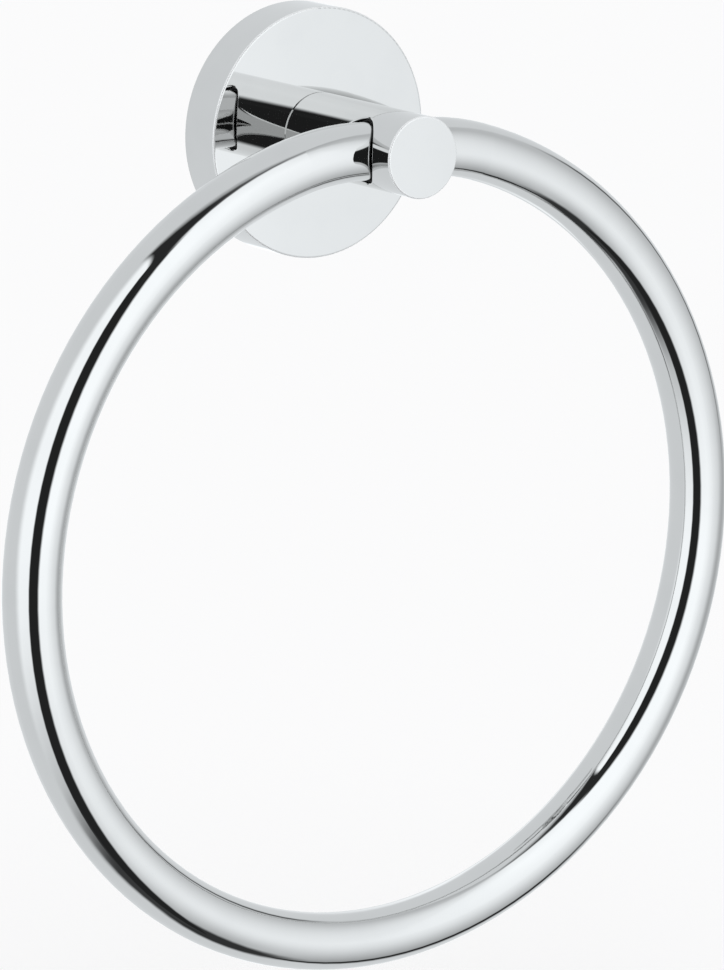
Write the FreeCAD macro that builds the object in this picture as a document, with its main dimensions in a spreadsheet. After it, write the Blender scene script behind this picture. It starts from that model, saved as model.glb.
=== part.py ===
import FreeCAD, Part
import math
import os
import re
import Sketcher

# Wall-mounted towel ring. Millimetres. The origin is the centre of the rose's back, on the wall.
# +Z is up, +X is to the right for someone facing the wall, and the object stands out towards -Y.

doc = FreeCAD.newDocument("towel_ring")
sheet = doc.addObject("Spreadsheet::Sheet", "sizes")

SIZES = [
    # the hoop
    ("ring_radius", 84),            # bend radius of the tube's centre line
    ("ring_shoulder_radius", 54),   # tighter bend that leads into the straight ends
    ("ring_straight_half", 8),      # straight tube on each side of the post's axis
    ("ring_joint_gap", 0.4),        # between the tube's two ends
    ("tube_dia", 12),
    ("tube_wall", 1.2),
    # the rose
    ("rose_dia", 52.6),
    ("rose_depth", 10.4),
    ("rose_wall", 2),
    ("rose_face", 2.4),
    ("rose_edge_round", 0.5),
    ("rose_inner_round", 1),
    # the post
    ("post_reach", 47.5),           # wall to the post's front end
    ("post_nose", 12.5),            # plane of the hoop to the post's front end
    ("post_cheek", 2.05),           # post's wall above and below the cross hole
    ("post_edge_round", 0.4),
    ("post_foot_bevel", 0.25),
    ("post_hole_round", 0.3),
    ("spigot_dia", 11),
    ("spigot_flat_cut", 1),         # depth of each of the two flats that stop the post turning
    ("spigot_short", 0.2),          # by which the spigot stops short of the rose's inner face
    # the liner and the plug that hold the tube's ends in the cross hole
    ("bush_room", 0.45),            # between the tube and the cross hole
    ("bush_set_back", 1.1),         # between each end of the liner and the post's thinnest place
    ("bush_window_room", 0.3),
    ("plug_set_back", 1),           # between each end of the plug and the start of the bend
    ("plug_bevel", 0.6),
    # the screw that ties the post to the rose, and its washer
    ("tie_thread_dia", 6),
    ("tie_head_dia", 10.5),
    ("tie_head_height", 3.3),
    ("tie_head_round", 0.8),
    ("tie_socket", 4),
    ("tie_socket_depth", 2),
    ("washer_lap", 2.5),            # by which the washer covers the rose's face round the spigot
    ("washer_thick", 1.5),
    ("washer_room", 0.2),
    # the set screw that clamps the hoop
    ("ring_screw_length", 6),
    ("ring_screw_socket", 3),
    ("ring_screw_socket_depth", 3),
    ("screws_apart", 4.45),         # between the two screws in the post's bore
    # the set screw that locks the rose on its bracket
    ("rose_screw_dia", 4),
    ("rose_screw_length", 5),
    ("rose_screw_socket", 2),
    ("rose_screw_socket_depth", 2.2),
    ("rose_screw_distance", 3.2),   # wall to its axis
    ("rose_boss_width", 9),
    ("rose_boss_depth", 2),         # by which the threaded boss stands in from the rose's wall
    # the hooks inside the rose
    ("hook_spread", 30),            # each hook's angle from the top
    ("hook_sweep", 24),
    ("hook_set_back", 0.5),         # from each end of the undercut
    # the bracket on the wall
    ("bracket_room", 2.8),          # between its edge and the rose's wall
    ("bracket_front_room", 2),      # between its front and the rose's inner face
    ("bracket_floor", 2.2),
    ("bracket_rim", 3.8),
    ("bracket_undercut", 3),
    ("bracket_land", 1),            # straight edge in front of the undercut
    ("bracket_bore", 17.4),
    ("bracket_hub_wall", 1.6),
    ("bracket_hub_drop", 1),        # by which the hub is lower than the rim
    ("bracket_rib_width", 1.6),
    ("bracket_rib_count", 8),
    ("bracket_rib_drop", 2.8),
    ("fixing_spacing", 28),
    ("fixing_hole_dia", 4.5),
    ("fixing_head_dia", 8.4),       # room for a wall screw's head
    ("fixing_head_drop", 2.6),
    ("fixing_boss_dia", 9.6),
    # clearances and bevels
    ("thread_clearance", 0.05),
    ("seat_clearance", 0.05),
    ("hook_clearance", 0.1),
    ("screw_end_bevel", 0.5),
    ("screw_point_bevel", 1.2),
]
for row, (alias, value) in enumerate(SIZES, start=1):
    sheet.set("A%d" % row, alias)
    sheet.set("B%d" % row, str(value))
    sheet.setAlias("B%d" % row, alias)
doc.recompute()

VALUES = dict(SIZES)

# Turns a piece modelled along its own +Z so that it stands out from the wall.
OUTWARD = FreeCAD.Rotation(FreeCAD.Vector(1, 0, 0), 90)
# Turns a piece modelled along its own +Z so that it lies across the post.
ACROSS = FreeCAD.Rotation(FreeCAD.Vector(0, 1, 0), 90)
UPRIGHT = FreeCAD.Rotation()
# How near two lengths must be to count as the same.
CLOSE = 1e-4

# Sizes that follow from others.
ROSE_INSIDE = "(rose_depth - rose_face)"
RING_DISTANCE = "(post_reach - post_nose)"
HOLE_DIA = "(tube_dia + 2 * bush_room)"
POST_DIA = "(tube_dia + 2 * bush_room + 2 * post_cheek)"
BUSH_LENGTH = "(sqrt(%s ^ 2 - %s ^ 2) - 2 * bush_set_back)" % (POST_DIA, HOLE_DIA)
PLUG_LENGTH = "(2 * ring_straight_half - 2 * plug_set_back)"
SPIGOT_FLATS = "(spigot_dia - 2 * spigot_flat_cut)"
TIE_SEAT = "(rose_depth - rose_face - washer_thick)"
RING_SCREW_TIP = "(post_reach - post_nose - tube_dia / 2 - seat_clearance)"
TIE_TIP = "(%s - ring_screw_length - screws_apart)" % RING_SCREW_TIP
BRACKET_RADIUS = "(rose_dia / 2 - rose_wall - bracket_room)"
BRACKET_DEPTH = "(rose_depth - rose_face - bracket_front_room)"
UNDERCUT_DEPTH = "(%s - bracket_land)" % BRACKET_DEPTH


def undercut_radius(distance):
    """Radius of the bracket's sloping edge at this distance from the wall."""
    return "(%s - bracket_undercut + %s * bracket_undercut / %s)" % (BRACKET_RADIUS, distance, UNDERCUT_DEPTH)


def bound(text):
    """The same sum with each alias pointing into the sheet."""
    return re.sub("[a-z_]+", lambda word: "sizes." + word[0] if word[0] in VALUES else word[0], text)


def number(text):
    return float(sheet.evalExpression(bound(text)))


def bind(thing, field, text):
    thing.setExpression(field, bound(text))


def new_body(label, rotation, base=("0", "0", "0")):
    body = doc.addObject("PartDesign::Body", label)
    body.Label = label
    body.Placement = FreeCAD.Placement(FreeCAD.Vector(), rotation)
    for axis, text in zip("xyz", base):
        bind(body, "Placement.Base." + axis, text)
    return body


def new_sketch(body, label, role, lift="0", spin=None):
    """A sketch on one of the body's own origin planes, lifted along its normal."""
    sketch = body.newObject("Sketcher::SketchObject", label)
    plane = [item for item in body.Origin.OriginFeatures if item.Role == role][0]
    sketch.AttachmentSupport = [(plane, "")]
    sketch.MapMode = "FlatFace"
    if spin:
        sketch.AttachmentOffset = FreeCAD.Placement(FreeCAD.Vector(), FreeCAD.Rotation(spin[0], number(spin[1])))
        bind(sketch, "AttachmentOffset.Rotation.Angle", spin[1])
    bind(sketch, "AttachmentOffset.Base.z", lift)
    return sketch


def dimension(sketch, kind, places, text):
    """A driving dimension whose value is a sum of the sheet's sizes."""
    index = sketch.addConstraint(Sketcher.Constraint(kind, *places, number(text)))
    bind(sketch, "Constraints[%d]" % index, text)


def pin_point(sketch, geometry, end, across, up):
    for kind, text, axis in (("DistanceX", across, -2), ("DistanceY", up, -1)):
        if text == "0":
            sketch.addConstraint(Sketcher.Constraint("PointOnObject", geometry, end, axis))
        else:
            dimension(sketch, kind, (-1, 1, geometry, end), text)


def outline(sketch, points):
    """A closed outline through points, each given by two sums of the sheet's sizes."""
    spots = [FreeCAD.Vector(number(across), number(up), 0) for across, up in points]
    first = sketch.GeometryCount
    count = len(spots)
    for index in range(count):
        sketch.addGeometry(Part.LineSegment(spots[index], spots[(index + 1) % count]), False)
    for index in range(count):
        following = first + (index + 1) % count
        sketch.addConstraint(Sketcher.Constraint("Coincident", first + index, 2, following, 1))
    for index, (across, up) in enumerate(points):
        pin_point(sketch, first + index, 1, across, up)


def circle(sketch, across, up, diameter):
    centre = FreeCAD.Vector(number(across), number(up), 0)
    normal = FreeCAD.Vector(0, 0, 1)
    index = sketch.addGeometry(Part.Circle(centre, normal, number(diameter) / 2), False)
    pin_point(sketch, index, 3, across, up)
    dimension(sketch, "Diameter", (index,), diameter)


def rectangle(sketch, left, low, right, high):
    outline(sketch, [(left, low), (right, low), (right, high), (left, high)])


def hexagon(sketch, across_flats):
    """A regular hexagon about the sketch's origin, with two flats level."""
    corner = number(across_flats) / math.sqrt(3)
    angles = [math.radians(60 * index) for index in range(6)]
    spots = [FreeCAD.Vector(corner * math.cos(angle), corner * math.sin(angle), 0) for angle in angles]
    for index in range(6):
        sketch.addGeometry(Part.LineSegment(spots[index], spots[(index + 1) % 6]), False)
    rim = sketch.addGeometry(Part.Circle(FreeCAD.Vector(), FreeCAD.Vector(0, 0, 1), corner), True)
    sketch.addConstraint(Sketcher.Constraint("Coincident", rim, 3, -1, 1))
    for index in range(6):
        sketch.addConstraint(Sketcher.Constraint("Coincident", index, 2, (index + 1) % 6, 1))
        sketch.addConstraint(Sketcher.Constraint("PointOnObject", index, 1, rim))
    for index in range(1, 6):
        sketch.addConstraint(Sketcher.Constraint("Equal", 0, index))
    sketch.addConstraint(Sketcher.Constraint("PointOnObject", 0, 1, -1))
    dimension(sketch, "Diameter", (rim,), "%s * 2 / sqrt(3)" % across_flats)


def revolve(body, label, sketch, axis="V_Axis", sweep=None):
    feature = body.newObject("PartDesign::Revolution", label)
    feature.Profile = sketch
    feature.ReferenceAxis = (sketch, [axis])
    if sweep:
        feature.Midplane = True
        bind(feature, "Angle", sweep)
    else:
        feature.Angle = 360
    doc.recompute()
    return feature


def pad(body, label, sketch, length, midplane=False):
    feature = body.newObject("PartDesign::Pad", label)
    feature.Profile = sketch
    feature.Midplane = midplane
    bind(feature, "Length", length)
    doc.recompute()
    return feature


def pocket(body, label, sketch, length=None, outward=False, midplane=False):
    """A cut against the sketch's normal, or along it when outward, through everything when it has no length."""
    before = body.Shape.Volume
    feature = body.newObject("PartDesign::Pocket", label)
    feature.Profile = sketch
    feature.Midplane = midplane
    feature.Reversed = outward
    if length:
        bind(feature, "Length", length)
    else:
        feature.Type = "ThroughAll"
    doc.recompute()
    if not body.Shape.Volume < before:
        raise RuntimeError(label + " cuts nothing")
    return feature


def edges_where(feature, test):
    return ["Edge%d" % (index + 1) for index, edge in enumerate(feature.Shape.Edges) if test(edge)]


def dress(body, kind, label, feature, edges, field, text):
    """A fillet or chamfer on named edges."""
    if not edges:
        raise RuntimeError(label + " finds no edge")
    dressed = body.newObject("PartDesign::" + kind, label)
    dressed.Base = (feature, edges)
    bind(dressed, field, text)
    doc.recompute()
    return dressed


def near(value, text):
    return abs(value - number(text)) < CLOSE


def is_rim(edge, radius, height):
    """True on a full circle about the piece's own Z axis, at this radius and height."""
    curve = edge.Curve
    if not isinstance(curve, Part.Circle) or not near(curve.Radius, radius):
        return False
    return near(curve.Center.z, height) and math.hypot(curve.Center.x, curve.Center.y) < CLOSE


def make_rose():
    """Cup with a flat face, a hole for the post, two hooks for the bracket and a threaded boss below."""
    body = new_body("rose", OUTWARD)
    cup = new_sketch(body, "rose_section", "XZ_Plane")
    outline(cup, [("0", ROSE_INSIDE), ("rose_dia / 2 - rose_wall", ROSE_INSIDE), ("rose_dia / 2 - rose_wall", "0"),
                  ("rose_dia / 2", "0"), ("rose_dia / 2", "rose_depth"), ("0", "rose_depth")])
    turned = revolve(body, "rose_turned", cup)
    outer = edges_where(turned, lambda edge: is_rim(edge, "rose_dia / 2", "rose_depth"))
    turned = dress(body, "Fillet", "rose_front_round", turned, outer, "Radius", "rose_edge_round")
    inner = edges_where(turned, lambda edge: is_rim(edge, "rose_dia / 2 - rose_wall", ROSE_INSIDE))
    dress(body, "Fillet", "rose_inside_round", turned, inner, "Radius", "rose_inner_round")
    # the hooks' inner faces follow the bracket's undercut
    back = "hook_set_back"
    front = "(%s - hook_set_back)" % UNDERCUT_DEPTH
    inner_back = undercut_radius(back) + " + hook_clearance"
    inner_front = undercut_radius(front) + " + hook_clearance"
    buried = "rose_dia / 2 - rose_wall / 2"
    for side, turn in (("left", "hook_spread"), ("right", "0 - hook_spread")):
        hook = new_sketch(body, "hook_section_" + side, "YZ_Plane", spin=(FreeCAD.Vector(0, 1, 0), turn))
        outline(hook, [(inner_back, back), (buried, back), (buried, front), (inner_front, front)])
        revolve(body, "hook_" + side, hook, sweep="hook_sweep")
    boss = new_sketch(body, "screw_boss_outline", "XY_Plane")
    rectangle(boss, "0 - rose_boss_width / 2", "0 - (rose_dia / 2 - rose_wall / 2)",
              "rose_boss_width / 2", "0 - (rose_dia / 2 - rose_wall - rose_boss_depth)")
    pad(body, "screw_boss", boss, "rose_depth - rose_face / 2")
    screw_way = new_sketch(body, "screw_way_outline", "XZ_Plane")
    circle(screw_way, "0", "rose_screw_distance", "rose_screw_dia + 2 * thread_clearance")
    pocket(body, "screw_way", screw_way, "rose_dia", outward=True)
    seat = new_sketch(body, "post_seat_outline", "XY_Plane", lift="rose_depth")
    flatted_disc(seat, "spigot_dia + 2 * seat_clearance", SPIGOT_FLATS + " + 2 * seat_clearance")
    pocket(body, "post_seat", seat)
    return body


def flatted_disc(sketch, diameter, flats):
    """A round outline with two upright flats, about the sketch's origin."""
    radius = number(diameter) / 2
    half = number(flats) / 2
    rise = math.sqrt(radius * radius - half * half)
    angle = math.atan2(rise, half)
    whole = Part.Circle(FreeCAD.Vector(), FreeCAD.Vector(0, 0, 1), radius)
    places = ((-half, rise), (-half, -rise), (half, -rise), (half, rise))
    corners = [FreeCAD.Vector(across, up, 0) for across, up in places]
    top = sketch.addGeometry(Part.ArcOfCircle(whole, angle, math.pi - angle), False)
    left = sketch.addGeometry(Part.LineSegment(corners[0], corners[1]), False)
    bottom = sketch.addGeometry(Part.ArcOfCircle(whole, math.pi + angle, 2 * math.pi - angle), False)
    right = sketch.addGeometry(Part.LineSegment(corners[2], corners[3]), False)
    for one, following in ((top, left), (left, bottom), (bottom, right), (right, top)):
        sketch.addConstraint(Sketcher.Constraint("Coincident", one, 2, following, 1))
    for arc in (top, bottom):
        sketch.addConstraint(Sketcher.Constraint("Coincident", arc, 3, -1, 1))
    for flat in (left, right):
        sketch.addConstraint(Sketcher.Constraint("Vertical", flat))
    sketch.addConstraint(Sketcher.Constraint("Equal", top, bottom))
    dimension(sketch, "Diameter", (top,), diameter)
    dimension(sketch, "DistanceX", (-1, 1, right, 1), "(%s) / 2" % flats)
    dimension(sketch, "DistanceX", (left, 1, -1, 1), "(%s) / 2" % flats)


def make_post():
    """Turned bar with a flatted spigot, a cross hole for the hoop and a threaded bore up to that hole."""
    body = new_body("post", OUTWARD)
    spigot_end = ROSE_INSIDE + " + spigot_short"
    side = POST_DIA + " / 2"
    section = new_sketch(body, "post_section", "XZ_Plane")
    outline(section, [("0", spigot_end), ("spigot_dia / 2", spigot_end), ("spigot_dia / 2", "rose_depth"),
                      (side + " - post_foot_bevel", "rose_depth"), (side, "rose_depth + post_foot_bevel"),
                      (side, "post_reach"), ("0", "post_reach")])
    turned = revolve(body, "post_turned", section)
    front = edges_where(turned, lambda edge: is_rim(edge, side, "post_reach"))
    dress(body, "Fillet", "post_front_round", turned, front, "Radius", "post_edge_round")
    flats = new_sketch(body, "spigot_flats_outline", "XY_Plane", lift=spigot_end)
    flat = SPIGOT_FLATS + " / 2"
    beyond = "spigot_dia / 2 + spigot_flat_cut"
    rectangle(flats, flat, "0 - spigot_dia / 2", beyond, "spigot_dia / 2")
    rectangle(flats, "0 - (%s)" % beyond, "0 - spigot_dia / 2", "0 - " + flat, "spigot_dia / 2")
    pocket(body, "spigot_flats_cut", flats, "rose_face - spigot_short", outward=True)
    cross = new_sketch(body, "cross_hole_outline", "YZ_Plane")
    circle(cross, "0", RING_DISTANCE, HOLE_DIA)
    drilled = pocket(body, "cross_hole", cross, midplane=True)
    mouths = edges_where(drilled, is_hole_mouth)
    dress(body, "Fillet", "cross_hole_round", drilled, mouths, "Radius", "post_hole_round")
    bore = new_sketch(body, "axial_bore_outline", "XY_Plane", lift=RING_DISTANCE)
    circle(bore, "0", "0", "tie_thread_dia + 2 * thread_clearance")
    pocket(body, "axial_bore", bore)
    return body


def is_hole_mouth(edge):
    """True on the curves where the cross hole breaks through the post's round side."""
    post_radius = number(POST_DIA) / 2
    hole_radius = number(HOLE_DIA) / 2
    distance = number(RING_DISTANCE)
    steps = 8
    for index in range(steps):
        spot = edge.valueAt(edge.FirstParameter + (edge.LastParameter - edge.FirstParameter) * index / steps)
        off_hole = math.hypot(spot.y, spot.z - distance) - hole_radius
        off_side = math.hypot(spot.x, spot.y) - post_radius
        if abs(off_hole) > 10 * CLOSE or abs(off_side) > 10 * CLOSE:
            return False
    return True


def level_line(sketch, start, end):
    return sketch.addGeometry(Part.LineSegment(FreeCAD.Vector(start, 0, 0), FreeCAD.Vector(end, 0, 0)), False)


def arc(sketch, across, up, radius, start, end):
    whole = Part.Circle(FreeCAD.Vector(across, up, 0), FreeCAD.Vector(0, 0, 1), radius)
    return sketch.addGeometry(Part.ArcOfCircle(whole, start, end), False)


def make_ring():
    """Tube bent to a hoop whose two straight ends meet inside the post."""
    body = new_body("ring", OUTWARD, ("0", "0 - " + RING_DISTANCE, "0"))
    big = number("ring_radius")
    small = number("ring_shoulder_radius")
    reach = number("ring_straight_half")
    half_gap = number("ring_joint_gap / 2")
    turn = math.asin(reach / (big - small))
    drop = small + (big - small) * math.cos(turn)
    top = math.pi / 2
    path = new_sketch(body, "ring_path", "XY_Plane")
    right_end = level_line(path, half_gap, reach)
    right_bend = arc(path, reach, -small, small, top - turn, top)
    hoop = arc(path, 0, -drop, big, top + turn, top - turn + 2 * math.pi)
    left_bend = arc(path, -reach, -small, small, top, top + turn)
    left_end = level_line(path, -reach, -half_gap)
    for one, one_end, other, other_end in ((right_end, 2, right_bend, 2), (right_bend, 1, hoop, 2),
                                           (hoop, 1, left_bend, 2), (left_bend, 1, left_end, 1)):
        path.addConstraint(Sketcher.Constraint("Tangent", one, one_end, other, other_end))
    for geometry, end in ((right_end, 1), (right_end, 2), (left_end, 2)):
        path.addConstraint(Sketcher.Constraint("PointOnObject", geometry, end, -1))
    path.addConstraint(Sketcher.Constraint("PointOnObject", hoop, 3, -2))
    path.addConstraint(Sketcher.Constraint("Equal", right_bend, left_bend))
    dimension(path, "Radius", (hoop,), "ring_radius")
    dimension(path, "Radius", (right_bend,), "ring_shoulder_radius")
    dimension(path, "DistanceX", (-1, 1, right_end, 2), "ring_straight_half")
    dimension(path, "DistanceX", (-1, 1, right_end, 1), "ring_joint_gap / 2")
    dimension(path, "DistanceX", (left_end, 2, -1, 1), "ring_joint_gap / 2")
    section = new_sketch(body, "ring_section", "YZ_Plane", lift="ring_joint_gap / 2")
    circle(section, "0", "0", "tube_dia")
    circle(section, "0", "0", "tube_dia - 2 * tube_wall")
    doc.recompute()
    tube = body.newObject("PartDesign::AdditivePipe", "ring_tube")
    tube.Profile = section
    tube.Spine = path
    doc.recompute()
    return body


def make_ring_joint_plug():
    """Round plug that sits in both ends of the tube and keeps them in line."""
    body = new_body("ring_joint_plug", ACROSS, ("0 - %s / 2" % PLUG_LENGTH, "0 - " + RING_DISTANCE, "0"))
    section = new_sketch(body, "plug_outline", "XY_Plane")
    radius = "(tube_dia / 2 - tube_wall - seat_clearance)"
    circle(section, "0", "0", "2 * " + radius)
    bar = pad(body, "plug_bar", section, PLUG_LENGTH)
    ends = edges_where(bar, lambda edge: is_rim(edge, radius, "0")) + edges_where(
        bar, lambda edge: is_rim(edge, radius, PLUG_LENGTH))
    dress(body, "Chamfer", "plug_ends", bar, ends, "Size", "plug_bevel")
    return body


def make_ring_bush():
    """Thin liner between the tube and the cross hole, with a window for the set screw."""
    body = new_body("ring_bush", ACROSS, ("0 - %s / 2" % BUSH_LENGTH, "0 - " + RING_DISTANCE, "0"))
    section = new_sketch(body, "bush_outline", "XY_Plane")
    circle(section, "0", "0", HOLE_DIA + " - 2 * seat_clearance")
    circle(section, "0", "0", "tube_dia + 2 * seat_clearance")
    pad(body, "bush_sleeve", section, BUSH_LENGTH)
    window = new_sketch(body, "bush_window_outline", "XZ_Plane")
    circle(window, "0", BUSH_LENGTH + " / 2", "tie_thread_dia + 2 * bush_window_room")
    pocket(body, "bush_window", window, HOLE_DIA)
    return body


def make_tie_screw():
    """Socket screw from behind the rose into the post."""
    body = new_body("post_screw", OUTWARD)
    head_back = TIE_SEAT + " - tie_head_height"
    section = new_sketch(body, "tie_section", "XZ_Plane")
    outline(section, [("0", head_back), ("tie_head_dia / 2", head_back), ("tie_head_dia / 2", TIE_SEAT),
                      ("tie_thread_dia / 2", TIE_SEAT), ("tie_thread_dia / 2", TIE_TIP + " - screw_end_bevel"),
                      ("tie_thread_dia / 2 - screw_end_bevel", TIE_TIP), ("0", TIE_TIP)])
    turned = revolve(body, "tie_turned", section)
    crown = edges_where(turned, lambda edge: is_rim(edge, "tie_head_dia / 2", head_back))
    dress(body, "Fillet", "tie_head_crown", turned, crown, "Radius", "tie_head_round")
    socket = new_sketch(body, "tie_socket_outline", "XY_Plane", lift=head_back)
    hexagon(socket, "tie_socket")
    pocket(body, "tie_socket_cut", socket, "tie_socket_depth", outward=True)
    return body


def make_washer():
    body = new_body("post_screw_washer", OUTWARD)
    section = new_sketch(body, "washer_outline", "XY_Plane", lift=TIE_SEAT)
    circle(section, "0", "0", "spigot_dia + 2 * washer_lap")
    circle(section, "0", "0", "tie_thread_dia + 2 * washer_room")
    pad(body, "washer_disc", section, "washer_thick")
    return body


def make_set_screw(label, diameter, length, socket, socket_depth, rotation, base):
    """Headless screw, its socket at the start of its own Z axis and its flat point at the end."""
    body = new_body(label, rotation, base)
    section = new_sketch(body, label + "_section", "XZ_Plane")
    side = diameter + " / 2"
    outline(section, [("0", "0"), (side + " - screw_end_bevel", "0"), (side, "screw_end_bevel"),
                      (side, length + " - screw_point_bevel"), (side + " - screw_point_bevel", length),
                      ("0", length)])
    revolve(body, label + "_turned", section)
    key = new_sketch(body, label + "_socket_outline", "XY_Plane")
    hexagon(key, socket)
    pocket(body, label + "_socket", key, socket_depth, outward=True)
    return body


def make_bracket():
    """Cast disc with an undercut edge, a hub, ribs and two bosses for the wall screws."""
    body = new_body("wall_bracket", OUTWARD)
    rim_inside = BRACKET_RADIUS + " - bracket_rim"
    hub_r = "bracket_bore / 2 + bracket_hub_wall"
    hub_depth = BRACKET_DEPTH + " - bracket_hub_drop"
    boss_depth = BRACKET_DEPTH + " - fixing_head_drop"
    section = new_sketch(body, "bracket_section", "XZ_Plane")
    outline(section, [("bracket_bore / 2", "0"), (BRACKET_RADIUS + " - bracket_undercut", "0"),
                      (BRACKET_RADIUS, UNDERCUT_DEPTH), (BRACKET_RADIUS, BRACKET_DEPTH),
                      (rim_inside, BRACKET_DEPTH), (rim_inside, "bracket_floor"), (hub_r, "bracket_floor"),
                      (hub_r, hub_depth), ("bracket_bore / 2", hub_depth)])
    revolve(body, "bracket_turned", section)
    rib = new_sketch(body, "bracket_rib_outline", "XY_Plane")
    rectangle(rib, "0 - bracket_rib_width / 2", hub_r + " - bracket_hub_wall / 2",
              "bracket_rib_width / 2", rim_inside + " + bracket_rim / 4")
    first = pad(body, "bracket_rib", rib, BRACKET_DEPTH + " - bracket_rib_drop")
    ribs = body.newObject("PartDesign::PolarPattern", "bracket_ribs")
    ribs.Originals = [first]
    ribs.Axis = (rib, ["N_Axis"])
    ribs.Angle = 360
    bind(ribs, "Occurrences", "bracket_rib_count")
    body.Tip = ribs
    doc.recompute()
    bosses = new_sketch(body, "fixing_boss_outline", "XY_Plane")
    holes_at = ("fixing_spacing / 2", "0 - fixing_spacing / 2")
    for across in holes_at:
        circle(bosses, across, "0", "fixing_boss_dia")
    pad(body, "fixing_bosses", bosses, boss_depth)
    heads = new_sketch(body, "fixing_head_outline", "XY_Plane", lift=boss_depth)
    for across in holes_at:
        circle(heads, across, "0", "fixing_head_dia")
    pocket(body, "fixing_heads", heads, outward=True)
    holes = new_sketch(body, "fixing_hole_outline", "XY_Plane")
    for across in holes_at:
        circle(holes, across, "0", "fixing_hole_dia")
    pocket(body, "fixing_holes", holes, outward=True)
    return body


pieces = [make_rose(), make_post(), make_ring(), make_ring_joint_plug(), make_ring_bush(), make_tie_screw(),
          make_washer()]
# the hoop's set screw bears on the back of the tube
pieces.append(make_set_screw(
    "ring_set_screw", "tie_thread_dia", "ring_screw_length", "ring_screw_socket", "ring_screw_socket_depth",
    OUTWARD, ("0", "0 - (%s - ring_screw_length)" % RING_SCREW_TIP, "0")))
# the rose's set screw bears on the bracket's undercut from below, at the front corner of its flat point
bearing = undercut_radius("(rose_screw_distance + rose_screw_dia / 2 - screw_point_bevel)")
pieces.append(make_set_screw(
    "rose_set_screw", "rose_screw_dia", "rose_screw_length", "rose_screw_socket", "rose_screw_socket_depth",
    UPRIGHT, ("0", "0 - rose_screw_distance", "0 - (%s + seat_clearance + rose_screw_length)" % bearing)))
pieces.append(make_bracket())

doc.recompute()
for item in doc.Objects:
    if "Invalid" in item.State or "Error" in item.State:
        raise RuntimeError(item.Name + " failed: " + ", ".join(item.State))
for piece in pieces:
    if piece.Shape.isNull() or not piece.Shape.isValid() or len(piece.Shape.Solids) != 1:
        raise RuntimeError(piece.Label + " has no valid single solid")

os.makedirs("parts", exist_ok=True)
for piece in pieces:
    piece.Shape.exportStep("parts/" + piece.Label + ".step")
    print(piece.Label, round(piece.Shape.Volume, 3), "mm3")
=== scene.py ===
import math

import bmesh
import bpy
from mathutils import Matrix, Vector


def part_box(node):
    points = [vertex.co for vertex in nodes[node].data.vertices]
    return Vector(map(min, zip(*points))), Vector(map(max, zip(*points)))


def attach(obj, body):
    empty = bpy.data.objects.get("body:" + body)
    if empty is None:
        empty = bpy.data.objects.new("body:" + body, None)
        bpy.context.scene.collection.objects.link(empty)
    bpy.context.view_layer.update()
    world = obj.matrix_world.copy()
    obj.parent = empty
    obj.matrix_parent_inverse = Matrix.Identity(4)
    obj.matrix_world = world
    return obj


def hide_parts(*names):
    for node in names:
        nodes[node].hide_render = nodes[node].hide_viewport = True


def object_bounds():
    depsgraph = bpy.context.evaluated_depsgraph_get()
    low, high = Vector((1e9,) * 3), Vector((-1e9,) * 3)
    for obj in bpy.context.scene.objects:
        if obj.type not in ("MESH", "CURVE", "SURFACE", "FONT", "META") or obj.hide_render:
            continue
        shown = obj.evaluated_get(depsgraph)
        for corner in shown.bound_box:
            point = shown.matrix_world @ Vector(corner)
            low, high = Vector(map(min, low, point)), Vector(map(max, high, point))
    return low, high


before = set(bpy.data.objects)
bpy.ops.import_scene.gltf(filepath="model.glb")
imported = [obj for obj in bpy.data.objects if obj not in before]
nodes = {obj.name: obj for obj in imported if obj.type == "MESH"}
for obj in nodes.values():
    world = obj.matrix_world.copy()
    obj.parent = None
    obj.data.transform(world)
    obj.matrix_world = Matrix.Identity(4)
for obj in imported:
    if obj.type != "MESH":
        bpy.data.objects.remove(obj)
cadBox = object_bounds()
print("frame loaded:", len(nodes), "nodes")


# the photograph's own viewpoint
viewPoint = {
    "azimuth": -35.314,     # degrees, to the left of straight on
    "elevation": 12.057,
    "roll": 1.373,
    "distance": 1.2061,
    "target": Vector((-0.00083, -0.03, -0.07084)),
    "lens": 216.35,         # mm, on a 36 mm sensor along the picture's long side
    "sensor": 36,
}


def makeCamera(place):
    azimuth = math.radians(place["azimuth"])
    elevation = math.radians(place["elevation"])
    roll = math.radians(place["roll"])
    level = math.cos(elevation)
    back = Vector((math.sin(azimuth) * level, -math.cos(azimuth) * level, math.sin(elevation)))
    across = Vector((0, 0, 1)).cross(back).normalized()
    up = back.cross(across)
    right = across * math.cos(roll) + up * math.sin(roll)
    top = up * math.cos(roll) - across * math.sin(roll)
    data = bpy.data.cameras.new("viewCamera")
    data.lens = place["lens"]
    data.sensor_width = place["sensor"]
    camera = bpy.data.objects.new("viewCamera", data)
    turn = Matrix((right, top, back)).transposed().to_4x4()
    camera.matrix_world = Matrix.Translation(place["target"] + back * place["distance"]) @ turn
    bpy.context.scene.collection.objects.link(camera)
    bpy.context.scene.camera = camera


makeCamera(viewPoint)
bpy.context.scene.view_settings.view_transform = "Standard"
print("camera placed")


class Wire:
    # one socket of a shader graph; sums on wires add Math nodes
    def __init__(self, graph, socket):
        self.graph = graph
        self.socket = socket

    def __add__(self, other):
        return self.graph.maths("ADD", self, other)

    def __sub__(self, other):
        return self.graph.maths("SUBTRACT", self, other)

    def __rsub__(self, other):
        return self.graph.maths("SUBTRACT", other, self)

    def __neg__(self):
        return self.graph.maths("MULTIPLY", self, -1)

    def __mul__(self, other):
        return self.graph.maths("MULTIPLY", self, other)

    def __pow__(self, other):
        return self.graph.maths("POWER", self, other)

    __radd__ = __add__
    __rmul__ = __mul__


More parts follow.
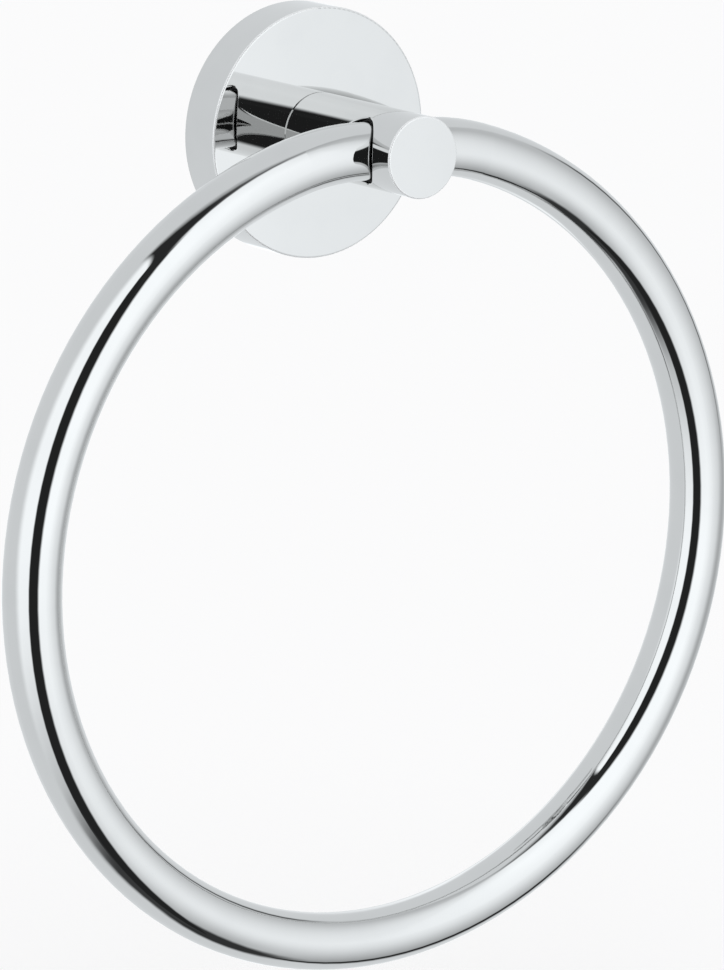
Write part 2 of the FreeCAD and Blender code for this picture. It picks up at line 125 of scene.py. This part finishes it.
class Graph:
    # the nodes of one material or world
    def __init__(self, tree):
        self.tree = tree
        self.tree.nodes.clear()

    def node(self, kind, settings=None, sockets=None, out=0):
        made = self.tree.nodes.new(kind)
        for name, value in (settings or {}).items():
            setattr(made, name, value)
        for name, value in (sockets or {}).items():
            if isinstance(value, Wire):
                self.tree.links.new(value.socket, made.inputs[name])
            else:
                made.inputs[name].default_value = value
        return Wire(self, made.outputs[out]) if made.outputs else None

    def maths(self, operation, *values):
        return self.node("ShaderNodeMath", {"operation": operation}, dict(enumerate(values)))

    def place(self):
        # object coordinates: metres in the CAD frame, or from the tent's own centre
        return self.node("ShaderNodeTexCoord", out=3)

    def parts(self, vector):
        first = self.node("ShaderNodeSeparateXYZ", None, {0: vector})
        return [Wire(self, output) for output in first.socket.node.outputs]

    def stretched(self, place, scale):
        return self.node("ShaderNodeVectorMath", {"operation": "MULTIPLY"}, {0: place, 1: scale})

    def noise(self, place, scale, detail=2, roughness=0.5):
        sockets = {"Vector": place, "Scale": scale, "Detail": detail, "Roughness": roughness}
        return self.node("ShaderNodeTexNoise", None, sockets)

    def bump(self, height, distance):
        sockets = {"Height": height, "Distance": distance, "Strength": 1}
        return self.node("ShaderNodeBump", None, sockets)

    def mix(self, factor, first, second):
        sockets = {0: factor, 6: first, 7: second}
        return self.node("ShaderNodeMix", {"data_type": "RGBA"}, sockets, 2)

    def soft(self, value, low, high):
        # 0 at low and 1 at high, eased; low may be the larger one
        sockets = {"Value": value, "From Min": low, "From Max": high}
        return self.node("ShaderNodeMapRange", {"interpolation_type": "SMOOTHSTEP"}, sockets)

    def even(self, value, low, high):
        # 0 at low and 1 at high, straight between them
        return self.node("ShaderNodeMapRange", None, {"Value": value, "From Min": low, "From Max": high})

    def rise(self, value, side):
        # 0 below a side and 1 above it; a side is a place and the width of its soft edge
        place, width = side
        return self.soft(value, place - width / 2, place + width / 2)

    def drop(self, value, side):
        # 1 below a side and 0 above it
        place, width = side
        return self.soft(value, place + width / 2, place - width / 2)

    def span(self, value, low, high):
        return self.rise(value, low) * self.drop(value, high)


def newFinish(name):
    material = bpy.data.materials.new(name)
    material.use_nodes = True
    return material, Graph(material.node_tree)


def finishWith(graph, sockets):
    shader = graph.node("ShaderNodeBsdfPrincipled", None, sockets)
    graph.node("ShaderNodeOutputMaterial", None, {"Surface": shader})


# chrome plating: almost a mirror, with the faint haze and waviness that buffing leaves;
# the outer edges of the rose and the post's end are rougher, where cloths wear them first, and
# carry a painted highlight, a paler and less metallic tone; the rose's inside is plated without
# buffing
chromeLook = {
    "tone": (0.69, 0.69, 0.685, 1),
    "hazeTone": (0.675, 0.676, 0.672, 1),
    "hazeReach": (0.42, 0.75),
    "haze": 0.018,
    "roughness": 0.022,
    "grainSize": 2600,      # per metre, as all sizes of noise here
    "waveSize": 90,
    "waveHeight": 0.000004,
    # each worn edge's radius and distance from the wall, in metres; these edges also carry a painted
    # highlight
    "edges": ((0.0263, 0.0104), (0.0085, 0.0475)),
    "edgeReach": (0.0005, 0.0002),
    # the painted highlight along the worn edges: its paler tone, and the metallic left there
    "edgeHighlightTone": (0.84, 0.845, 0.85, 1),
    "edgeWear": 0.4,
    "edgeHighlightMetallic": 0.55,
    "insideRadius": (0.0249, 0.0245),
    "insideDepth": (-0.0084, -0.008),
    "insideGrain": 0.00003,
    "insideRoughness": (0.154, 0.132),      # least, and what the clouds add
    # the cross hole's distance from the wall and its radius, and the painted shade inside it
    "holeAt": 0.035,
    "holeRadius": (0.00665, 0.00655),
    "holeShadeTone": (0.1, 0.1, 0.1, 1),
}


def makeChrome(name, look, shadesHole):
    material, graph = newFinish(name)
    place = graph.place()
    x, y, z = graph.parts(place)
    cloud = graph.noise(place, look["waveSize"], detail=3)
    wave = graph.noise(place, look["waveSize"], detail=1)
    grain = graph.noise(place, look["grainSize"])
    haze = graph.soft(cloud, *look["hazeReach"])
    radius = (x * x + z * z) ** 0.5
    wearAndHighlight = 0
    for rim, distance in look["edges"]:
        away = ((radius - rim) ** 2 + (y + distance) ** 2) ** 0.5
        wearAndHighlight = graph.soft(away, *look["edgeReach"]) + wearAndHighlight
    inside = graph.soft(radius, *look["insideRadius"]) * graph.soft(y, *look["insideDepth"])
    least, clouded = look["insideRoughness"]
    height = look["waveHeight"] * wave + look["insideGrain"] * inside * grain
    tone = graph.mix(haze, look["tone"], look["hazeTone"])
    # painted highlight along the worn edges: a paler tone here, and less metal below
    tone = graph.mix(wearAndHighlight, tone, look["edgeHighlightTone"])
    # painted shade inside the post's cross hole
    if shadesHole:
        holeShade = graph.soft(((y + look["holeAt"]) ** 2 + z * z) ** 0.5, *look["holeRadius"])
        tone = graph.mix(holeShade, tone, look["holeShadeTone"])
    finishWith(graph, {
        "Base Color": tone,
        "Metallic": 1 - (1 - look["edgeHighlightMetallic"]) * wearAndHighlight,
        "Roughness": look["roughness"] + look["haze"] * haze * grain + look["edgeWear"] * wearAndHighlight
        + inside * (least + clouded * cloud),
        "Normal": graph.bump(height, 1),
    })
    return material


polishedShell = makeChrome("polishedShell", chromeLook, True)
polishedTube = makeChrome("polishedTube", chromeLook, False)

# turned steel, with fine lines across Y, which is the axis of most of these pieces
steelLook = {
    "tone": (0.56, 0.56, 0.57, 1),
    "dark": (0.38, 0.38, 0.39, 1),
    "cloudSize": 220,
    "cloudReach": (0.35, 0.7),
    "lineSize": 1400,
    "lineStretch": (1, 14, 1),
    "lineDepth": 0.00002,
    "roughness": (0.28, 0.18),      # least, and what the lines add
}


def makeSteel(name, look):
    material, graph = newFinish(name)
    place = graph.place()
    cloud = graph.noise(place, look["cloudSize"], detail=4)
    lines = graph.noise(graph.stretched(place, look["lineStretch"]), look["lineSize"], detail=3)
    least, lined = look["roughness"]
    finishWith(graph, {
        "Base Color": graph.mix(graph.soft(cloud, *look["cloudReach"]), look["tone"], look["dark"]),
        "Metallic": 1,
        "Roughness": least + lined * lines,
        "Normal": graph.bump(lines, look["lineDepth"]),
    })
    return material


plainSteel = makeSteel("plainSteel", steelLook)

# the bracket, rough as cast
castLook = {
    "tone": (0.52, 0.53, 0.54, 1),
    "dark": (0.4, 0.41, 0.425, 1),
    "cloudSize": 120,
    "cloudReach": (0.3, 0.75),
    "grainSize": 2200,
    "grainDepth": 0.00008,
    "roughness": (0.42, 0.2),       # least, and what the grain adds
}


def makeCast(name, look):
    material, graph = newFinish(name)
    place = graph.place()
    cloud = graph.noise(place, look["cloudSize"], detail=4)
    grain = graph.noise(place, look["grainSize"], detail=5, roughness=0.7)
    least, grained = look["roughness"]
    finishWith(graph, {
        "Base Color": graph.mix(graph.soft(cloud, *look["cloudReach"]), look["tone"], look["dark"]),
        "Metallic": 1,
        "Roughness": least + grained * grain,
        "Normal": graph.bump(grain, look["grainDepth"]),
    })
    return material


castBracket = makeCast("castBracket", castLook)

# the black liner in the cross hole
linerLook = {
    "tone": (0.018, 0.018, 0.019, 1),
    "pale": (0.035, 0.035, 0.037, 1),
    "grainSize": 3000,
    "grainDepth": 0.00003,
    "roughness": (0.55, 0.15),
}


def makeLiner(name, look):
    material, graph = newFinish(name)
    grain = graph.noise(graph.place(), look["grainSize"], detail=3)
    least, grained = look["roughness"]
    finishWith(graph, {
        "Base Color": graph.mix(grain, look["tone"], look["pale"]),
        "Roughness": least + grained * grain,
        "Normal": graph.bump(grain, look["grainDepth"]),
    })
    return material


blackLiner = makeLiner("blackLiner", linerLook)

finishes = {
    "rose": polishedShell, "post": polishedShell, "ring": polishedTube,
    "ring_joint_plug": plainSteel, "ring_set_screw": plainSteel, "post_screw": plainSteel,
    "post_screw_washer": plainSteel, "rose_set_screw": plainSteel,
    "wall_bracket": castBracket, "ring_bush": blackLiner,
}
for name, material in finishes.items():
    nodes[name].data.materials.clear()
    nodes[name].data.materials.append(material)
print("finishes made")


# screws: each stands for its node, with a real thread and a hexagon socket
screwLook = {
    "sides": 48,
    "rowsPerTurn": 8,
    "sharpAngle": math.radians(32),
    "threadDepth": 0.61,    # of the pitch
    # the socket's drilled bottom in parts of its depth, and its mouth in parts of its width
    "drillDepth": 1.12,
    "drillRadius": 0.1,
    "mouthDepth": 0.06,
    "mouthRadius": 0.62,
}


def circleOf(radius):
    return lambda angle: radius


def hexagonOf(flats):
    sixth = math.pi / 3
    return lambda angle: flats / 2 / math.cos((angle + sixth / 2) % sixth - sixth / 2)


def threadAt(place, look, limit):
    # crest and root are each flat for a quarter of the pitch; limit is the bevel's radius here
    def shape(angle):
        phase = (place / look["pitch"] - angle / math.tau) % 1
        rise = min(max(2 * abs(2 * phase - 1) - 0.5, 0), 1)
        return min(look["thread"] - screwLook["threadDepth"] * look["pitch"] * (1 - rise), limit)
    return shape


def threadRows(look, start):
    end = look["length"]
    radius = look["thread"]
    count = round((end - start) / look["pitch"] * screwLook["rowsPerTurn"])
    rows = []
    for step in range(count + 1):
        place = start + (end - start) * step / count
        startLimit = radius - look["startBevel"] + place - start
        endLimit = radius - look["endBevel"] + end - place
        rows.append((place, threadAt(place, look, min(radius, startLimit, endLimit))))
    return rows


def socketRows(look):
    depth, flats = look["socketDepth"], look["socket"]
    return [(depth * screwLook["drillDepth"], circleOf(flats * screwLook["drillRadius"])),
            (depth, hexagonOf(flats)), (flats * screwLook["mouthDepth"], hexagonOf(flats)),
            (0, circleOf(flats * screwLook["mouthRadius"]))]


def standAt(node, axis):
    # own +Z turned to the axis, from the first face of the node that the axis meets
    low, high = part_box(node)
    length = (high - low).dot(Vector([abs(part) for part in axis]))
    turn = Vector((0, 0, 1)).rotation_difference(axis).to_matrix().to_4x4()
    return Matrix.Translation((low + high) / 2 - axis * length / 2) @ turn


def turnScrew(name, look, rows):
    # rows of a lathe profile from the socket's bottom to the tip, each a distance and a shape
    body = bmesh.new()
    angles = [math.tau * step / screwLook["sides"] for step in range(screwLook["sides"])]
    rings = []
    for place, shape in rows:
        ring = []
        for angle in angles:
            reach = shape(angle)
            ring.append(body.verts.new((reach * math.cos(angle), reach * math.sin(angle), place)))
        rings.append(ring)
    for lower, upper in zip(rings, rings[1:]):
        for step in range(screwLook["sides"]):
            body.faces.new((lower[step - 1], lower[step], upper[step], upper[step - 1]))
    body.faces.new(rings[0])
    body.faces.new(reversed(rings[-1]))
    bmesh.ops.recalc_face_normals(body, faces=body.faces)
    mesh = bpy.data.meshes.new(name)
    body.to_mesh(mesh)
    body.free()
    mesh.transform(standAt(look["node"], look["axis"]))
    mesh.shade_smooth()
    mesh.set_sharp_from_angle(angle=screwLook["sharpAngle"])
    mesh.materials.append(plainSteel)
    piece = bpy.data.objects.new(name, mesh)
    bpy.context.scene.collection.objects.link(piece)
    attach(piece, "root")
    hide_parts(look["node"])


# metres; head and thread are radii, and each screw's axis points from its socket to its tip
postScrew = {
    "node": "post_screw",
    "axis": Vector((0, -1, 0)),
    "head": 0.00525,
    "headHeight": 0.0033,
    "crown": 0.0008,
    "crownSteps": 4,
    "seatBevel": 0.0002,
    "neckDrop": 0.0001,     # by which the plain neck is thinner than the thread
    "neckLength": 0.0006,
    "thread": 0.003,
    "pitch": 0.001,
    "length": 0.0153,
    "startBevel": 0.0005,
    "endBevel": 0.0005,
    "socket": 0.004,
    "socketDepth": 0.002,
}


def makePostScrew(look):
    head, crown, seat = look["head"], look["crown"], look["headHeight"]
    rows = socketRows(look)
    for step in range(look["crownSteps"], -1, -1):
        turn = math.pi / 2 * step / look["crownSteps"]
        rows.append((crown * (1 - math.sin(turn)), circleOf(head - crown * (1 - math.cos(turn)))))
    rows += [(seat - look["seatBevel"], circleOf(head)), (seat, circleOf(head - look["seatBevel"])),
             (seat, circleOf(look["thread"] - look["neckDrop"]))]
    turnScrew("postScrew", look, rows + threadRows(look, seat + look["neckLength"]))


makePostScrew(postScrew)

setScrews = {
    "ringSetScrew": {
        "node": "ring_set_screw",
        "axis": Vector((0, -1, 0)),
        "thread": 0.003,
        "pitch": 0.001,
        "length": 0.006,
        "startBevel": 0.0005,
        "endBevel": 0.0012,
        "socket": 0.003,
        "socketDepth": 0.003,
    },
    "roseSetScrew": {
        "node": "rose_set_screw",
        "axis": Vector((0, 0, 1)),
        "thread": 0.002,
        "pitch": 0.0007,
        "length": 0.005,
        "startBevel": 0.0005,
        "endBevel": 0.0012,
        "socket": 0.002,
        "socketDepth": 0.0022,
    },
}
for name, look in setScrews.items():
    turnScrew(name, look, socketRows(look) + threadRows(look, 0))
print("screws made")


# the studio: a pale tent with white cards and a black flag, which only mirrors see
studio = {
    "centre": (0.039, -0.184, -0.215),
    "radius": 0.497,
    "segments": (96, 64),
    "tint": (0.94, 0.975, 1, 1),
    "air": 0.87,
    "full": 1.5,            # brighter than any card
}

# the cards: places are degrees of azimuth, which is 0 in front and grows to the right, and of
# elevation. A from, to, bottom or top is a side, with its place and the width of its soft edge,
# and the other pairs run from no effect to the full one. Levels say how bright a card is


def across(graph, sky, look):
    return graph.span(sky["azimuth"], look["from"], look["to"])


def upright(graph, sky, look):
    return graph.span(sky["elevation"], look["bottom"], look["top"])


# on the left: it lies further left above the horizon, and fades downwards
leftCard = {
    "from": (-107, 19),
    "to": (-60, 2),
    "shift": 7.5,
    "shifted": (0, 26),
    "level": 1.37,
    "lower": (14, -60),
    "lowerLoss": 0.56,
}


def layLeftCard(graph, sky, look):
    shift = look["shift"] * graph.soft(sky["elevation"], *look["shifted"])
    loss = look["lowerLoss"] * graph.soft(sky["elevation"], *look["lower"])
    mask = graph.span(sky["azimuth"] + shift, look["from"], look["to"])
    return look["level"] * (1 - loss), mask


# in front: it dims to the right, downwards and near the zenith, and gains a little near the flag
frontCard = {
    "from": (-48, 2),
    "to": (129, 10),
    "level": 1.385,
    "dimmed": (12, 112),
    "dimPower": 1.1,
    "dimLevel": 0.7,
    "near": (43, 37),
    "above": (-8, 8),
    "nearGain": 0.05,
    "lower": (8, -85),
    "lowerLoss": 0.6,
    "right": (25, 45),
    "rightLoss": 0.46,      # in place of lowerLoss
    "upper": (58, 86),
    "upperLoss": 0.1,
}


def layFrontCard(graph, sky, look):
    azimuth, elevation = sky["azimuth"], sky["elevation"]
    dimming = graph.even(azimuth, *look["dimmed"]) ** look["dimPower"]
    level = look["level"] - (look["level"] - look["dimLevel"]) * dimming
    gain = look["nearGain"] * graph.soft(azimuth, *look["near"]) * graph.soft(elevation, *look["above"])
    right = graph.soft(azimuth, *look["right"])
    loss = look["lowerLoss"] + (look["rightLoss"] - look["lowerLoss"]) * right
    lower = loss * graph.soft(elevation, *look["lower"])
    upper = look["upperLoss"] * graph.soft(elevation, *look["upper"])
    return (level + gain) * (1 - lower) * (1 - upper), across(graph, sky, look)


# the dark seam in the front card: it bends to the right at its top and bottom, is paler in the
# middle and wider lower down
seam = {
    "azimuth": 98,
    "upper": (-8, 32),
    "upperShift": 27,
    "lower": (-8, -30),
    "lowerShift": 17,
    "width": 3,
    "lowerWidth": 6,
    "softness": 7,
    "bottom": (-77, 8),
    "top": (45, 10),
    "level": 0.03,
    "paleBottom": (-20, 14),
    "paleTop": (12, 16),
    "paleLevel": 0.35,
}


def fromSeam(graph, sky, look):
    upper = look["upperShift"] * graph.soft(sky["elevation"], *look["upper"])
    lower = look["lowerShift"] * graph.soft(sky["elevation"], *look["lower"])
    return sky["azimuth"] - look["azimuth"] - upper - lower


def laySeam(graph, sky, look):
    width = look["width"] + look["lowerWidth"] * graph.soft(sky["elevation"], *look["lower"])
    softness = look["softness"]
    line = graph.span(fromSeam(graph, sky, look), (-width, softness), (width, softness))
    pale = look["paleLevel"] * graph.span(sky["elevation"], look["paleBottom"], look["paleTop"])
    return look["level"] + pale, line * upright(graph, sky, look)


# the shade on both sides of the seam's middle, in degrees from the seam
seamShade = {
    "from": (-15, 34),
    "to": (11, 20),
    "bottom": (-24, 14),
    "top": (12, 18),
    "level": 0.56,
}


def laySeamShade(graph, sky, look):
    line = graph.span(fromSeam(graph, sky, seam), look["from"], look["to"])
    return look["level"], line * upright(graph, sky, look)


# behind: a narrow card in two halves, one above the other
backCard = {
    "from": (160, 16),
    "to": (166, 6),
    "bottom": (-19, 10),
    "top": (26, 10),
    "gapBottom": (-4, 3),
    "gapTop": (8, 4),
    "level": 1.36,
}


def layBackCard(graph, sky, look):
    gap = graph.span(sky["elevation"], look["gapBottom"], look["gapTop"])
    return look["level"], across(graph, sky, look) * upright(graph, sky, look) * (1 - gap)


# straight below
ground = {
    "top": (-72, 12),
    "level": 0.044,
}


def layGround(graph, sky, look):
    return look["level"], graph.drop(sky["elevation"], look["top"])


# the black flag between the left and front cards: its left and right sides lean and bend with
# the elevation, and above a height the right one comes in faster
flag = {
    "from": (-67.9, 6),
    "to": (-25.9, 12),
    "lean": (-0.11, -0.2),
    "bend": (-0.0018, 0.0016),
    "taperAbove": 46,
    "taper": 0.34,
    "top": (68, 8),
    "level": 0.023,
}


def layFlag(graph, sky, look):
    azimuth, elevation = sky["azimuth"], sky["elevation"]
    left, right = [azimuth - lean * elevation - bend * elevation * elevation
                   for lean, bend in zip(look["lean"], look["bend"])]
    taper = look["taper"] * graph.maths("MAXIMUM", elevation - look["taperAbove"], 0)
    mask = graph.rise(left, look["from"]) * graph.drop(right + taper, look["to"])
    return look["level"], mask * graph.drop(elevation, look["top"])


# the flag's upper end, a wedge over the zenith that points to the right. Its pairs are parts of
# the direction, to the right or upwards; each long side runs between two curves, and a curve is
# a constant, a slope and a bend over the distance to the left of the zenith
wedge = {
    "start": (-0.445, -0.415),
    "end": (0.4, 0.1),
    "above": (0.7, 0.8),
    "back": ((0.087, 0.6, 0), (-0.02, -0.35, 2.1)),
    "front": ((-0.105, -0.4, -1.2), (-0.02, -0.1, -1.6)),
    "right": (-0.02, 0.1),
    "rightLoss": 0.8,
    "level": 0.03,
    "pale": (-0.25, 0.05),
    "paleLevel": 0.18,
}


def layWedge(graph, sky, look):
    x, y, z = sky["parts"]
    left = graph.maths("MAXIMUM", -x, 0)
    mask = graph.soft(x, *look["start"]) * graph.soft(x, *look["end"]) * graph.soft(z, *look["above"])
    for side in ("back", "front"):
        curves = [constant + slope * left + bend * left * left for constant, slope, bend in look[side]]
        mask = mask * graph.soft(y, *curves)
    mask = mask * (1 - look["rightLoss"] * graph.soft(x, *look["right"]))
    return look["level"] + look["paleLevel"] * graph.soft(x, *look["pale"]), mask


# below the flag and the left card
lowerDark = {
    "from": (-118, 34),
    "to": (-59, 13),
    "top": (-50, 28),
    "level": 0.058,
}


def layLowerDark(graph, sky, look):
    return look["level"], across(graph, sky, look) * graph.drop(sky["elevation"], look["top"])


# each covers what comes before it
layers = [(layLeftCard, leftCard), (layFrontCard, frontCard), (laySeam, seam),
          (laySeamShade, seamShade), (layBackCard, backCard), (layGround, ground),
          (layFlag, flag), (layWedge, wedge), (layLowerDark, lowerDark)]


def makeStage(name, shape, material):
    mesh = bpy.data.meshes.new(name)
    shape.to_mesh(mesh)
    shape.free()
    mesh.materials.append(material)
    piece = bpy.data.objects.new(name, mesh)
    bpy.context.scene.collection.objects.link(piece)
    return piece


def makeTent(look):
    material, graph = newFinish("tent")
    direction = graph.node("ShaderNodeVectorMath", {"operation": "NORMALIZE"}, {0: graph.place()})
    x, y, z = graph.parts(direction)
    degree = 180 / math.pi
    sky = {
        "parts": (x, y, z),
        "azimuth": graph.maths("ARCTAN2", x, -y) * degree,
        "elevation": graph.maths("ARCSINE", z) * degree,
    }
    brightness = look["air"]
    for lay, card in layers:
        level, mask = lay(graph, sky, card)
        brightness = brightness * (1 - mask) + mask * level
    dark = graph.node("ShaderNodeEmission", None, {"Strength": 0})
    bright = graph.node("ShaderNodeEmission", None, {"Color": look["tint"], "Strength": look["full"]})
    share = brightness * (1 / look["full"])
    both = graph.node("ShaderNodeMixShader", None, {0: share, 1: dark, 2: bright})
    graph.node("ShaderNodeOutputMaterial", None, {"Surface": both})
    around, upwards = look["segments"]
    shell = bmesh.new()
    bmesh.ops.create_uvsphere(shell, u_segments=around, v_segments=upwards, radius=look["radius"])
    tent = makeStage("tent", shell, material)
    tent.data.shade_smooth()
    tent.location = look["centre"]
    tent.visible_camera = False
    tent.visible_diffuse = False
    tent.visible_shadow = False
    tent.visible_transmission = False


makeTent(studio)

# a pale floor below the hanging part, in metres, which glows a little for the camera and which
# no mirror shows
floorLook = {
    "tone": (0.86, 0.86, 0.865, 1),
    "glow": 0.13,
    "size": 14,             # from the middle to a side
    "below": 0.06,
}


def makeFloor(look):
    material, graph = newFinish("floorPaint")
    cameraRay = graph.node("ShaderNodeLightPath")
    paint = graph.node("ShaderNodeBsdfDiffuse", None, {"Color": look["tone"]})
    glow = graph.node("ShaderNodeEmission", None, {"Strength": look["glow"] * cameraRay})
    both = graph.node("ShaderNodeAddShader", None, {0: paint, 1: glow})
    graph.node("ShaderNodeOutputMaterial", None, {"Surface": both})
    sheet = bmesh.new()
    bmesh.ops.create_grid(sheet, x_segments=8, y_segments=8, size=look["size"])
    floor = makeStage("floor", sheet, material)
    floor.location = (0, 0, cadBox[0].z - look["below"])
    floor.visible_glossy = False


makeFloor(floorLook)

# even air, brighter for the camera, and one wide, soft sun from above the front left
lightLook = {
    "air": 0.72,
    "cameraAir": 0.24,
    "sun": 1,
    "sunSize": 40,          # degrees, as its turn
    "sunTurn": (38, 0, -30),
}


def makeLight(look):
    world = bpy.data.worlds.new("studioAir")
    world.use_nodes = True
    graph = Graph(world.node_tree)
    cameraRay = graph.node("ShaderNodeLightPath")
    strength = look["air"] + look["cameraAir"] * cameraRay
    air = graph.node("ShaderNodeBackground", None, {"Color": (1, 1, 1, 1), "Strength": strength})
    graph.node("ShaderNodeOutputWorld", None, {"Surface": air})
    bpy.context.scene.world = world
    data = bpy.data.lights.new("keyLight", "SUN")
    data.energy = look["sun"]
    data.angle = math.radians(look["sunSize"])
    key = bpy.data.objects.new("keyLight", data)
    key.rotation_euler = [math.radians(turn) for turn in look["sunTurn"]]
    key.visible_glossy = False
    bpy.context.scene.collection.objects.link(key)


makeLight(lightLook)
print("studio lit")
